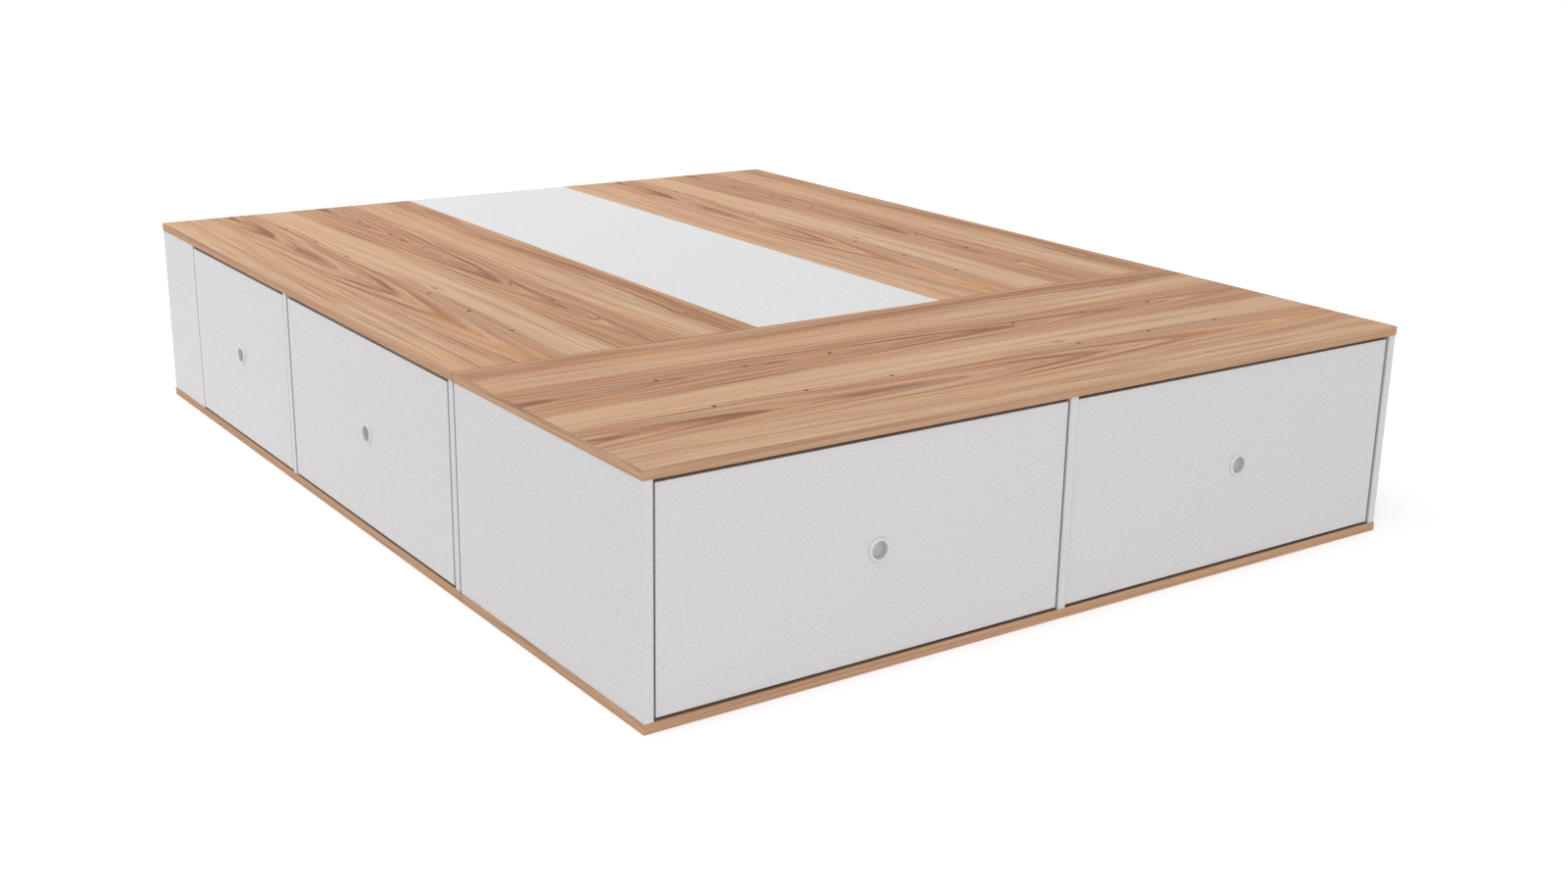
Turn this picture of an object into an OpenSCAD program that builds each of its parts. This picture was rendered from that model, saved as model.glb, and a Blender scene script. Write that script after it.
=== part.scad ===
// Storage bed base: three drawer modules and a loose cover board, for a double mattress.
// Millimetres, +Z up. The origin is on the floor, at the centre of the footprint.
// The foot is at -Y, the head at +Y.

/* [Bed] */
// Width of the base across the foot
bed_w = 1600; // [1500:10:1700]
// Length of the base from foot to head
bed_l = 2085; // [2060:5:2200]
// Height from the floor to the top of the boards
bed_h = 395; // [370:1:480]

/* [Boards] */
// Thickness of top, bottom, upright and back boards
board_t = 16; // [15:1:17]
// Set-back of the uprights from the edges of the top and bottom boards
panel_inset = 1; // [0.5:0.5:2]
// Joint between the modules
seam_gap = 1; // [0.3:0.1:2]
// Set-back of the end panels on both sides of that joint
seam_inset = 2; // [0.5:0.5:4]
// Clearance round the cover board
cover_gap = 0.5; // [0.3:0.1:2]
// Clear width of the drawer bay next to the foot module
near_bay_w = 722.5; // [600:0.5:760]
// Width of the blind panel at the head end
blind_w = 200; // [150:0.5:260]
// Width of the ledger strips under the cover board
ledger_w = 20; // [15:1:40]
// Height of the ledger strips
ledger_h = 40; // [20:1:60]
// Gap between two ledger strips where they meet
ledger_gap = 0.5; // [0.3:0.1:3]

/* [Air holes] */
// Diameter of the air holes in the top boards
vent_d = 8; // [4:0.5:14]
// Distance between neighbouring air holes
vent_pitch = 171; // [120:1:175]
// Distance from the middle of the foot module to the middle of each group of holes
foot_vent_offset = 377; // [330:1:400]
// Distance from the middle of a side module to the middle of each group of holes
side_vent_offset = 372; // [330:1:380]

/* [Drawer fronts] */
// Thickness of a drawer front
front_t = 16; // [12:1:17]
// How far the fronts of the foot module lie behind the board edges
foot_front_recess = 4; // [0:0.5:5]
// How far the fronts of the side modules lie behind the board edges
side_front_recess = 1.5; // [0:0.5:4]
// Gap between a front of the foot module and the end panel beside it
gap_outer = 5; // [2:0.5:8]
// Gap between a front of the foot module and the divider
gap_inner = 3; // [2:0.5:8]
// Gap on both sides of the wide front of a side module
near_gap = 7.5; // [2:0.5:10]
// Gap on both sides of the narrow front at the head end
far_gap = 2.5; // [2:0.5:8]
// Gap above a front
gap_top = 6.5; // [2:0.5:10]
// Gap below a front
gap_bottom = 4; // [2:0.5:10]

/* [Finger cups] */
// Outer diameter of the rim
cup_rim_d = 38; // [35:0.5:60]
// How far the rim stands out from the front
cup_rim_t = 3.5; // [2:0.5:6]
// Diameter of the mouth
cup_mouth_d = 29.4; // [27:0.2:30]
// Diameter of the flat floor
cup_floor_d = 25.6; // [20:0.2:26.6]
// Depth of the cup, measured from the face of the rim
cup_depth = 10.5; // [8:0.5:13]
// Wall of the cup
cup_wall = 1.6; // [1:0.2:1.8]
// Clearance round the cup in its blind bore
cup_clear = 0.15; // [0.05:0.05:0.4]
// How far a cup lies to the right of the middle of a wide front, seen from outside
cup_offset = 9.5; // [-20:0.5:20]
// The same on the narrow front at the head end
far_cup_offset = 4.5; // [-20:0.5:20]
// Fillet between the wall and the floor of the cup
cup_fillet = 1.5; // [0.5:0.5:3]
// Rounding of the outer edge of the rim
rim_round = 1.2; // [0.4:0.2:1.6]

/* [Drawer boxes] */
// Thickness of the box boards
box_t = 12; // [10:1:16]
// Height of the box boards
box_h = 290; // [200:5:300]
// Height of the box above the bottom board
box_rise = 14; // [5:1:25]
// Thickness of the drawer bottom
box_bottom_t = 3; // [3:0.5:6]
// Depth of the groove for the drawer bottom
groove_depth = 6; // [4:0.5:8]
// Height of the groove above the lower edge of the box
groove_rise = 10; // [6:1:20]
// Clearance of the drawer bottom in its groove
groove_clear = 0.1; // [0.05:0.05:0.3]
// Joint between the side boards of a box and the boards between them
box_seam = 0.1; // [0.05:0.05:0.3]

/* [Runners] */
// Length of a runner, and travel of the drawer; the modules are as deep as it asks for
runner_l = 550; // [400:50:650]
// Space between box and bay wall that one runner fills
runner_t = 12.7; // [12.5:0.1:14]
// Height of the cabinet member
runner_h = 45; // [42:0.5:55]
// Thickness of the runner steel
runner_steel = 1.2; // [1:0.1:1.4]
// Height of the middle of the runners above the floor
runner_z = 115; // [80:1:200]
// Distance from the back of a drawer front to the runner
runner_start = 2; // [1:0.5:3]
// Free space behind a drawer box, which the heads of the connector bolts reach into
rear_gap = 4; // [3.5:0.5:12]
// Diameter of the balls
ball_d = 3.6; // [3:0.1:4]
// Running clearance between the balls or their retainer and the steel
race_clear = 0.3; // [0.2:0.05:0.4]
// Distance between the balls of a row
ball_pitch = 40; // [20:5:60]
// Thickness of a ball retainer
retainer_t = 0.6; // [0.4:0.1:0.8]
// How much shorter a ball retainer is than half a member
retainer_short = 30; // [26:1:60]
// Distance of a ball retainer from the end of its member
retainer_end = 5; // [2:1:20]
// Turned-in lip along the edge of a member
lip_h = 1; // [0.6:0.1:1.2]
// Inner radius of the bends
bend_r = 0.8; // [0.4:0.1:1.2]
// Diameter of the screw holes in the cabinet and drawer members
runner_hole_d = 4.6; // [3:0.2:6]
// Diameter of the access holes in the middle member
access_hole_d = 10; // [8:0.5:12]
// Distance of the first hole from the front end
hole_start = 35; // [20:1:50]
// Distance between the holes
hole_pitch = 128; // [64:32:160]

/* [Fasteners] */
// Shank diameter of the connector bolts between the modules
bolt_d = 8; // [5:0.5:10]
// Head diameter of the connector bolts
bolt_head_d = 15; // [12:0.5:18]
// Head height of the connector bolts
bolt_head_t = 2.5; // [1.5:0.5:3]
// Distance of the connector bolts from the outer side and from the middle space
bolt_inset_x = 60; // [40:1:100]
// Distance of the connector bolts from the top and bottom boards
bolt_inset_z = 45; // [30:1:80]
// Shank diameter of the screws under the bottom boards
screw_d = 5; // [4:0.5:7]
// Head diameter of the screws under the bottom boards
screw_head_d = 10; // [8:0.5:12]
// Head height of these screws
screw_head_t = 4; // [2:0.5:6]
// How deep the screw heads lie in the board
screw_sink = 0.5; // [0:0.1:2]
// Length of the screws
screw_l = 50; // [40:1:60]
// Diameter of the wooden dowels under the tops
dowel_d = 8; // [6:0.5:9]
// Length of the wooden dowels
dowel_l = 30; // [25:1:40]
// Depth of a dowel in the top board
dowel_in_top = 11; // [8:0.5:12]
// Distance of the screws and dowels from the ends of an upright
fastener_inset = 70; // [40:1:120]
// Shank diameter of the flat-head screws of the runners and drawer fronts
flat_screw_d = 4; // [3:0.5:5]
// Head diameter of the flat-head screws
flat_head_d = 7; // [6:0.5:8]
// Length of the screws of the runners
runner_screw_l = 8; // [5:0.5:8]
// How deep the screws of a drawer box reach into the drawer front
front_screw_bite = 9; // [6:0.5:10]
// Distance of these screws from the outer sides and edges of the box
front_screw_inset = 60; // [30:1:90]
// Clearance round a fastener in its hole
hole_clear = 0.1; // [0.05:0.05:0.3]
// Free depth of a blind hole beyond the fastener
hole_spare = 0.5; // [0.3:0.1:2]

/* [Hidden] */
$fn = 64;

WALNUT = [0.80, 0.64, 0.50];
WHITE = [0.90, 0.90, 0.90];
STEEL = [0.62, 0.64, 0.66];
BEECH = [0.84, 0.70, 0.50];

// Overshoot of a cutting solid beyond the face that it cuts
cut = 1;

inner_z = bed_h - board_t;
end_in = panel_inset + board_t;

// The depth of a module: front, runner, space behind it, and back board
foot_depth = foot_front_recess + front_t + runner_start + runner_l + rear_gap + end_in;
side_depth = side_front_recess + front_t + runner_start + runner_l + rear_gap + end_in;
side_l = bed_l - foot_depth - seam_gap;
cover_w = bed_w - 2 * side_depth;
foot_back_y = foot_depth - end_in;
side_back_y = side_depth - end_in;

// Where the boards that bound the bays start, along each module
foot_div_x = (bed_w - board_t) / 2;
near_bay_x = seam_inset + board_t;
side_div_x = near_bay_x + near_bay_w;
blind_x = side_l - panel_inset - blind_w;

// Each upright board: its place along the module, its front edge, its back edge
FOOT_LEFT = [panel_inset, panel_inset, foot_depth - seam_inset];
FOOT_RIGHT = [bed_w - end_in, panel_inset, foot_depth - seam_inset];
FOOT_DIVIDER = [foot_div_x, panel_inset, foot_back_y];
SIDE_FOOT_END = [seam_inset, panel_inset, side_depth - panel_inset];
SIDE_HEAD_END = [side_l - end_in, end_in, side_depth - panel_inset];
SIDE_DIVIDER = [side_div_x, panel_inset, side_back_y];
SIDE_UPRIGHT = [blind_x, end_in, side_back_y];
FOOT_UPRIGHTS = [FOOT_LEFT, FOOT_RIGHT, FOOT_DIVIDER];
SIDE_UPRIGHTS = [SIDE_FOOT_END, SIDE_HEAD_END, SIDE_DIVIDER, SIDE_UPRIGHT];

// Each drawer bay: start and end along the module, gaps of the front at start and end
FOOT_BAY_1 = [end_in, foot_div_x, gap_outer, gap_inner];
FOOT_BAY_2 = [foot_div_x + board_t, bed_w - end_in, gap_inner, gap_outer];
NEAR_BAY = [near_bay_x, side_div_x, near_gap, near_gap];
FAR_BAY = [side_div_x + board_t, blind_x, far_gap, far_gap];

// Each drawer: name, module, bay, recess of the front, shift of the cup along the module
DRAWERS = [
    ["foot_drawer_1", "foot", FOOT_BAY_1, foot_front_recess, cup_offset],
    ["foot_drawer_2", "foot", FOOT_BAY_2, foot_front_recess, cup_offset],
    ["left_near_drawer", "left", NEAR_BAY, side_front_recess, -cup_offset],
    ["left_far_drawer", "left", FAR_BAY, side_front_recess, -far_cup_offset],
    ["right_near_drawer", "right", NEAR_BAY, side_front_recess, cup_offset],
    ["right_far_drawer", "right", FAR_BAY, side_front_recess, far_cup_offset]
];

FOOT_PIECES = [
    "foot_top", "foot_bottom", "foot_left_panel", "foot_right_panel", "foot_divider", "foot_back"
];
SIDES = ["left", "right"];
SIDE_PIECES = [
    "top", "bottom", "foot_panel", "head_panel", "divider", "upright", "blind_panel", "back"
];
SHARED_PIECES = [
    "cover_board", "cover_ledgers", "connector_bolts", "bottom_screws", "top_dowels", "cabinet_rails"
];
DRAWER_PIECES = ["front", "cup", "box", "rails", "mid_rails"];

// Places of the modules. In each, x runs along the fronts and y into the depth.

module at_module(name) {
    if (name == "foot")
        translate([-bed_w / 2, -bed_l / 2, 0]) children();
    if (name == "right")
        translate([bed_w / 2, -bed_l / 2 + foot_depth + seam_gap, 0]) rotate([0, 0, 90]) children();
    if (name == "left")
        mirror([1, 0, 0]) at_module("right") children();
}

// A block from its lowest to its highest corner
module block(from, to) {
    translate(from) cube(to - from);
}

// Places of the screws and dowels of the uprights, as [x, y]
function fastener_points(uprights) = [
    for (u = uprights)
        for (y = [u[1] + fastener_inset, u[2] - fastener_inset]) [u[0] + board_t / 2, y]
];

// Boards of the carcasses

module top_board(length, depth, uprights, vent_offset) {
    color(WALNUT)
    difference() {
        block([0, 0, inner_z], [length, depth, bed_h]);
        for (p = fastener_points(uprights))
            translate([p[0], p[1], inner_z - cut])
                cylinder(d = dowel_d + 2 * hole_clear, h = dowel_in_top + hole_spare + cut);
        for (group = [-vent_offset, vent_offset], column = [-1:1], row = [-0.5, 0.5])
            translate([length / 2 + group + column * vent_pitch, depth / 2 + row * vent_pitch, inner_z - cut])
                cylinder(d = vent_d, h = board_t + 2 * cut);
    }
}

module bottom_board(length, depth, uprights) {
    color(WALNUT)
    difference() {
        block([0, 0, 0], [length, depth, board_t]);
        for (p = fastener_points(uprights))
            translate([p[0], p[1], -cut]) {
                cylinder(d = screw_d + 2 * hole_clear, h = board_t + 2 * cut);
                cylinder(d = screw_head_d + 2 * hole_clear, h = cut + screw_sink + screw_head_t);
            }
    }
}

// An upright of a module, with the holes for its screws and dowels and for the screws of the runners
module upright(u, name) {
    screw_top = screw_sink + screw_l + hole_spare;
    dowel_foot = inner_z + dowel_in_top - dowel_l - hole_spare;
    color(WHITE)
    difference() {
        block([u[0], u[1], board_t], [u[0] + board_t, u[2], inner_z]);
        for (p = fastener_points([u])) {
            translate([p[0], p[1], board_t - cut])
                cylinder(d = screw_d + 2 * hole_clear, h = screw_top - board_t + cut);
            translate([p[0], p[1], dowel_foot])
                cylinder(d = dowel_d + 2 * hole_clear, h = inner_z - dowel_foot + cut);
        }
        for (d = DRAWERS)
            if (d[1] == name) at_walls(d) at_cabinet_screws() flat_hole(runner_screw_l);
    }
}

// A plain upright board that lies along the module
module long_panel(x0, x1, y0) {
    color(WHITE) block([x0, y0, board_t], [x1, y0 + board_t, inner_z]);
}

// Puts something at each connector bolt, turned so that +Z points to the head
module at_bolts() {
    for (side = [-1, 1])
        for (x = [bed_w / 2 - bolt_inset_x, cover_w / 2 + bolt_inset_x])
            for (z = [board_t + bolt_inset_z, inner_z - bolt_inset_z])
                translate([side * x, -bed_l / 2, z]) rotate([-90, 0, 0]) children();
}

// Holes for the connector bolts between two distances from the foot
module bolt_holes(y0, y1) {
    at_bolts() translate([0, 0, y0]) cylinder(d = bolt_d + 2 * hole_clear, h = y1 - y0);
}

module foot_piece(piece) {
    if (piece == "foot_back")
        difference() {
            at_module("foot") long_panel(end_in, bed_w - end_in, foot_back_y);
            bolt_holes(foot_back_y - cut, foot_depth + cut);
        }
    else
        at_module("foot") {
            if (piece == "foot_top") top_board(bed_w, foot_depth, FOOT_UPRIGHTS, foot_vent_offset);
            if (piece == "foot_bottom") bottom_board(bed_w, foot_depth, FOOT_UPRIGHTS);
            if (piece == "foot_left_panel") upright(FOOT_LEFT, "foot");
            if (piece == "foot_right_panel") upright(FOOT_RIGHT, "foot");
            if (piece == "foot_divider") upright(FOOT_DIVIDER, "foot");
        }
}

module side_piece(side, piece) {
    if (piece == "foot_panel")
        difference() {
            at_module(side) upright(SIDE_FOOT_END, side);
            bolt_holes(foot_depth, foot_depth + seam_gap + near_bay_x + cut);
        }
    else
        at_module(side) {
            if (piece == "top") top_board(side_l, side_depth, SIDE_UPRIGHTS, side_vent_offset);
            if (piece == "bottom") bottom_board(side_l, side_depth, SIDE_UPRIGHTS);
            if (piece == "head_panel") upright(SIDE_HEAD_END, side);
            if (piece == "divider") upright(SIDE_DIVIDER, side);
            if (piece == "upright") upright(SIDE_UPRIGHT, side);
            if (piece == "blind_panel") long_panel(blind_x, side_l - panel_inset, panel_inset);
            if (piece == "back") long_panel(near_bay_x, side_l - end_in, side_back_y);
        }
}

// Cover board and the ledgers that carry it

module cover_board() {
    half = cover_w / 2 - cover_gap;
    color(WHITE) block([-half, -bed_l / 2 + foot_depth + cover_gap, inner_z], [half, bed_l / 2, bed_h]);
}

module cover_ledgers() {
    x1 = cover_w / 2 + panel_inset;
    x0 = x1 - ledger_w;
    y0 = -bed_l / 2 + foot_depth - panel_inset;
    y1 = y0 + panel_inset + seam_gap + seam_inset;
    z0 = inner_z - ledger_h;
    color(WHITE) {
        block([x0, y1, z0], [x1, bed_l / 2 - end_in, inner_z]);
        block([-x1, y1, z0], [-x0, bed_l / 2 - end_in, inner_z]);
        block([-x0 + ledger_gap, y0, z0], [x0 - ledger_gap, y0 + ledger_w, inner_z]);
    }
}

// Fasteners

// Bolts that clamp the back of the foot module to the foot panels of the side modules
module connector_bolts() {
    y1 = foot_depth + seam_gap + near_bay_x;
    color(STEEL)
    at_bolts() {
        translate([0, 0, foot_back_y]) cylinder(d = bolt_d, h = y1 - foot_back_y);
        translate([0, 0, foot_back_y - bolt_head_t]) cylinder(d = bolt_head_d, h = bolt_head_t);
        translate([0, 0, y1]) cylinder(d = bolt_head_d, h = bolt_head_t);
    }
}

// Puts something at each screw and dowel, at a height over the floor
module at_fasteners(height) {
    at_module("foot")
        for (p = fastener_points(FOOT_UPRIGHTS)) translate([p[0], p[1], height]) children();
    for (side = SIDES)
        at_module(side)
            for (p = fastener_points(SIDE_UPRIGHTS)) translate([p[0], p[1], height]) children();
}

module bottom_screws() {
    color(STEEL)
    at_fasteners(screw_sink) {
        cylinder(d = screw_head_d, h = screw_head_t);
        cylinder(d = screw_d, h = screw_l);
    }
}

module top_dowels() {
    color(BEECH) at_fasteners(inner_z + dowel_in_top - dowel_l) cylinder(d = dowel_d, h = dowel_l);
}

// Flat-head screws, with their face at height 0 and the tip pointing down

module flat_screw(length) {
    head_r = flat_head_d / 2;
    shank_r = flat_screw_d / 2;
    rotate_extrude()
        polygon([[0, 0], [head_r, 0], [shank_r, shank_r - head_r], [shank_r, -length], [0, -length]]);
}

// The hole for such a screw, which is also cut free above the head
module flat_hole(length) {
    head_r = flat_head_d / 2 + hole_clear;
    shank_r = flat_screw_d / 2 + hole_clear;
    tip = -length - hole_spare;
    rotate_extrude()
        polygon([[0, cut], [head_r, cut], [head_r, 0], [shank_r, shank_r - head_r], [shank_r, tip], [0, tip]]);
}

// Runners, drawn in section with x from the bay wall to the box and y up.
// A C-shaped cabinet member holds a C-shaped middle member, and that holds the drawer member.
// Rows of balls run between them, above and below.

// Half heights of the three members and of the two pairs of ball rows
cab_half = runner_h / 2;
outer_row = cab_half - runner_steel - ball_d / 2;
mid_half = outer_row - ball_d / 2;
inner_row = mid_half - runner_steel - ball_d / 2;
drw_half = inner_row - ball_d / 2;

// Where the members start and end across the runner
retainer_room = retainer_t + 2 * race_clear;
mid_web = runner_steel + retainer_room;
drw_rim = mid_web + runner_steel + retainer_room;
mid_rim = runner_t - runner_steel - 2 * race_clear;
cab_rim = mid_rim - lip_h;
ball_x = cab_rim - runner_steel - ball_d / 2 - race_clear;

// A retainer stays in one half of the middle member
retainer_l = runner_l / 2 - retainer_short;

// The screws of a member sit in its first and its last hole
last_hole = hole_start + hole_pitch * floor((runner_l - 2 * hole_start) / hole_pitch);

// A slab with two rounded corners on its left side
module bent_slab(x0, x1, half, r) {
    translate([x0 + r, -half]) square([x1 - x0 - r, 2 * half]);
    translate([x0, r - half]) square([2 * r, 2 * (half - r)]);
    for (end = [-1, 1]) translate([x0 + r, end * (half - r)]) circle(r = r);
}

// A channel that opens to the right, with lips turned in along its rims
module channel(x0, x1, half) {
    lip_y = half - runner_steel - lip_h;
    difference() {
        bent_slab(x0, x1, half, bend_r + runner_steel);
        bent_slab(x0 + runner_steel, x1 + cut, half - runner_steel, bend_r);
    }
    for (end = [0, 1])
        mirror([0, end, 0])
            translate([x1 - runner_steel, lip_y]) square([runner_steel, half - lip_y]);
}

// The grooves that a pair of ball rows runs in
module races(row) {
    for (end = [-1, 1]) translate([ball_x, end * row]) circle(r = ball_d / 2 + race_clear);
}

module cabinet_section() {
    difference() {
        channel(0, cab_rim, cab_half);
        races(outer_row);
    }
}

module middle_section() {
    difference() {
        channel(mid_web, mid_rim, mid_half);
        races(outer_row);
        races(inner_row);
    }
}

module drawer_section() {
    difference() {
        translate([runner_t, 0]) mirror([1, 0, 0]) channel(0, runner_t - drw_rim, drw_half);
        races(inner_row);
    }
}

// A strip bent to a C that holds two rows of balls
module retainer_section(x0, row) {
    half = row + retainer_t / 2;
    rim = ball_x + ball_d / 2;
    difference() {
        translate([x0, -half]) square([rim - x0, 2 * half]);
        translate([x0 + retainer_t, retainer_t - half]) square([rim, 2 * (half - retainer_t)]);
    }
}

// A retainer with its balls, along z
module retainer(x0, row) {
    linear_extrude(height = retainer_l) retainer_section(x0, row);
    for (end = [-1, 1], z = [ball_pitch / 2:ball_pitch:retainer_l - ball_d])
        translate([ball_x, end * row, z]) sphere(d = ball_d);
}

// A member of full length with a row of holes in its web
module member(hole_d) {
    difference() {
        linear_extrude(height = runner_l) children();
        for (y = [hole_start:hole_pitch:runner_l - hole_start])
            translate([-cut, 0, runner_l - y])
                rotate([0, 90, 0])
                    cylinder(d = hole_d, h = runner_t + 2 * cut);
    }
}

// Puts something at each screw of a member, turned so that it points to the bay wall or to the box
module at_cabinet_screws() {
    for (y = [hole_start, last_hole])
        translate([runner_steel, 0, runner_l - y]) rotate([0, 90, 0]) children();
}

module at_drawer_screws() {
    for (y = [hole_start, last_hole])
        translate([runner_t - runner_steel, 0, runner_l - y]) rotate([0, -90, 0]) children();
}

// Both walls of a drawer's bay. A section lies upright there, and z runs from its back end to its front.
module at_walls(d) {
    back_end = d[3] + front_t + runner_start + runner_l;
    translate([d[2][0], back_end, runner_z]) rotate([90, 0, 0]) children();
    translate([d[2][1], back_end, runner_z]) mirror([1, 0, 0]) rotate([90, 0, 0]) children();
}

// The fixed members of all runners, with their screws
module cabinet_rails() {
    color(STEEL)
    for (d = DRAWERS)
        at_module(d[1])
        at_walls(d) {
            difference() {
                member(runner_hole_d) cabinet_section();
                at_cabinet_screws() flat_hole(runner_screw_l);
            }
            at_cabinet_screws() flat_screw(runner_screw_l);
        }
}

// The outer retainers lie in the back half and the inner ones in the front half,
// so that both stay between their members when the drawer is out.
module mid_rails(d) {
    color(STEEL)
    at_module(d[1])
    at_walls(d) {
        member(access_hole_d) middle_section();
        translate([0, 0, retainer_end]) retainer(runner_steel + race_clear, outer_row);
        translate([0, 0, runner_l - retainer_end - retainer_l])
            retainer(mid_web + runner_steel + race_clear, inner_row);
    }
}

// The moving members of a drawer's runners, with the screws of the drawer
module drawer_rails(d) {
    color(STEEL)
    at_module(d[1]) {
        at_walls(d) {
            difference() {
                member(runner_hole_d) drawer_section();
                at_drawer_screws() flat_hole(runner_screw_l);
            }
            at_drawer_screws() flat_screw(runner_screw_l);
        }
        at_front_screws(d) flat_screw(front_screw_l);
    }
}

// Drawer fronts and finger cups

front_z0 = board_t + gap_bottom;
front_z1 = inner_z - gap_top;
cup_back = cup_depth + cup_wall - cup_rim_t;

// A place on the face of a front, turned so that +Z points outwards
module at_cup(d) {
    middle = (d[2][0] + d[2][2] + d[2][1] - d[2][3]) / 2;
    translate([middle + d[4], d[3], (front_z0 + front_z1) / 2]) rotate([90, 0, 0]) children();
}

module drawer_front(d) {
    color(WHITE)
    at_module(d[1])
    difference() {
        block([d[2][0] + d[2][2], d[3], front_z0], [d[2][1] - d[2][3], d[3] + front_t, front_z1]);
        at_cup(d)
            translate([0, 0, -cup_back - cup_clear])
                cylinder(d = cup_mouth_d + 2 * (cup_wall + cup_clear), h = cup_back + cup_clear + cut);
        at_front_screws(d) flat_hole(front_screw_l);
    }
}

// Slope of the cup's wall, and the centre of the fillet at its floor
cup_slope = (cup_mouth_d - cup_floor_d) / 2 / cup_depth;
cup_slant = sqrt(1 + cup_slope * cup_slope);
cup_floor_z = cup_rim_t - cup_depth;
fillet_x = cup_floor_d / 2 + cup_fillet * (cup_slope - cup_slant);
fillet_z = cup_floor_z + cup_fillet;

// The finger space in half section: radius against height over the face of the front
module finger_space() {
    reach = cup_floor_d / 2;
    difference() {
        polygon([
            [0, cup_floor_z],
            [reach, cup_floor_z],
            [reach + cup_slope * (cup_depth + cut), cup_rim_t + cut],
            [0, cup_rim_t + cut]
        ]);
        difference() {
            polygon([
                [fillet_x, cup_floor_z - cut],
                [reach + cut, cup_floor_z - cut],
                [fillet_x + cup_fillet / cup_slant, fillet_z - cup_fillet * cup_slope / cup_slant],
                [fillet_x, fillet_z]
            ]);
            translate([fillet_x, fillet_z]) circle(r = cup_fillet);
        }
    }
}

module cup_section() {
    body_r = cup_mouth_d / 2 + cup_wall;
    rim_r = cup_rim_d / 2;
    difference() {
        union() {
            translate([0, -cup_back]) square([body_r, cup_back]);
            square([rim_r - rim_round, cup_rim_t]);
            square([rim_r, cup_rim_t - rim_round]);
            translate([rim_r - rim_round, cup_rim_t - rim_round]) circle(r = rim_round);
        }
        finger_space();
    }
}

module drawer_cup(d) {
    color(WHITE) at_module(d[1]) at_cup(d) rotate_extrude() cup_section();
}

// Drawer boxes

box_z = board_t + box_rise;
box_l = runner_start + runner_l;
front_screw_l = box_t + front_screw_bite;

// Lower and upper corner of the space that a drawer box fills
function box_from(d) = [d[2][0] + runner_t, d[3] + front_t, box_z];
function box_to(d) = [d[2][1] - runner_t, d[3] + front_t + box_l, box_z + box_h];

// Puts something at each screw that holds a front to its box, turned so that it points outwards
module at_front_screws(d) {
    a = box_from(d);
    b = box_to(d);
    for (x = [a[0] + front_screw_inset, b[0] - front_screw_inset])
        for (z = [a[2] + front_screw_inset, b[2] - front_screw_inset])
            translate([x, a[1] + box_t, z]) rotate([-90, 0, 0]) children();
}

// A slab set in from the outer faces of the box, between two heights over its lower edge
module box_slab(d, inset, low, high) {
    a = box_from(d);
    b = box_to(d);
    block([a[0] + inset, a[1] + inset, box_z + low], [b[0] - inset, b[1] - inset, box_z + high]);
}

// The two side boards of a box, and the inner front and the back between them
module box_boards(d) {
    a = box_from(d);
    b = box_to(d);
    inner = box_t + box_seam;
    block(a, [a[0] + box_t, b[1], b[2]]);
    block([b[0] - box_t, a[1], a[2]], b);
    block([a[0] + inner, a[1], a[2]], [b[0] - inner, a[1] + box_t, b[2]]);
    block([a[0] + inner, b[1] - box_t, a[2]], [b[0] - inner, b[1], b[2]]);
}

module drawer_box(d) {
    groove_high = groove_rise + box_bottom_t + 2 * groove_clear;
    groove_inset = box_t - groove_depth;
    color(WHITE)
    at_module(d[1]) {
        difference() {
            box_boards(d);
            box_slab(d, groove_inset, groove_rise, groove_high);
            at_walls(d) at_drawer_screws() flat_hole(runner_screw_l);
            at_front_screws(d) flat_hole(front_screw_l);
        }
        box_slab(d, groove_inset + groove_clear, groove_rise + groove_clear, groove_high - groove_clear);
    }
}

module drawer_piece(d, piece) {
    if (piece == "front") drawer_front(d);
    if (piece == "cup") drawer_cup(d);
    if (piece == "box") drawer_box(d);
    if (piece == "rails") drawer_rails(d);
    if (piece == "mid_rails") mid_rails(d);
}

// The pieces of the bed

for (p = FOOT_PIECES)
    foot_piece(p);
for (s = SIDES, p = SIDE_PIECES)
    side_piece(s, p);
cover_board();
cover_ledgers();
connector_bolts();
bottom_screws();
top_dowels();
cabinet_rails();
for (d = DRAWERS, p = DRAWER_PIECES)
    drawer_piece(d, p);
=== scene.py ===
import math

import bpy
from mathutils import Euler, Matrix, Vector


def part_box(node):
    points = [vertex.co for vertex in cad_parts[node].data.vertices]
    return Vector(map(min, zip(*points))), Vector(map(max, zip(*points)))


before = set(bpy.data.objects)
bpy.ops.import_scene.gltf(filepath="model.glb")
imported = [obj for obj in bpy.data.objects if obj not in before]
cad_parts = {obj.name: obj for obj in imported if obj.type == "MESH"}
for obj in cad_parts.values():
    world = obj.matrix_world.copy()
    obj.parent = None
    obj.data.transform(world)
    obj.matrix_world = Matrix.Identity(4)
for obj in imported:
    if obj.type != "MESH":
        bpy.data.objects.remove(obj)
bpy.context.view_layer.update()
print("frame loaded:", len(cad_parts), "nodes")


# Small helpers for node trees

def srgb(r, g, b):
    # a colour as seen on a screen, 0 to 255, to the linear values that a shader takes
    steps = [c / 255 for c in (r, g, b)]
    return tuple(c / 12.92 if c < 0.04045 else ((c + 0.055) / 1.055) ** 2.4 for c in steps) + (1.0,)


def setInputs(tree, made, inputs):
    # a socket is linked, and a plain value is set
    for socket, value in inputs.items():
        if isinstance(value, bpy.types.NodeSocket):
            tree.links.new(value, made.inputs[socket])
        else:
            made.inputs[socket].default_value = value


def addNode(tree, kind, inputs, **settings):
    made = tree.nodes.new(kind)
    for name, value in settings.items():
        setattr(made, name, value)
    setInputs(tree, made, inputs)
    return made


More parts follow.
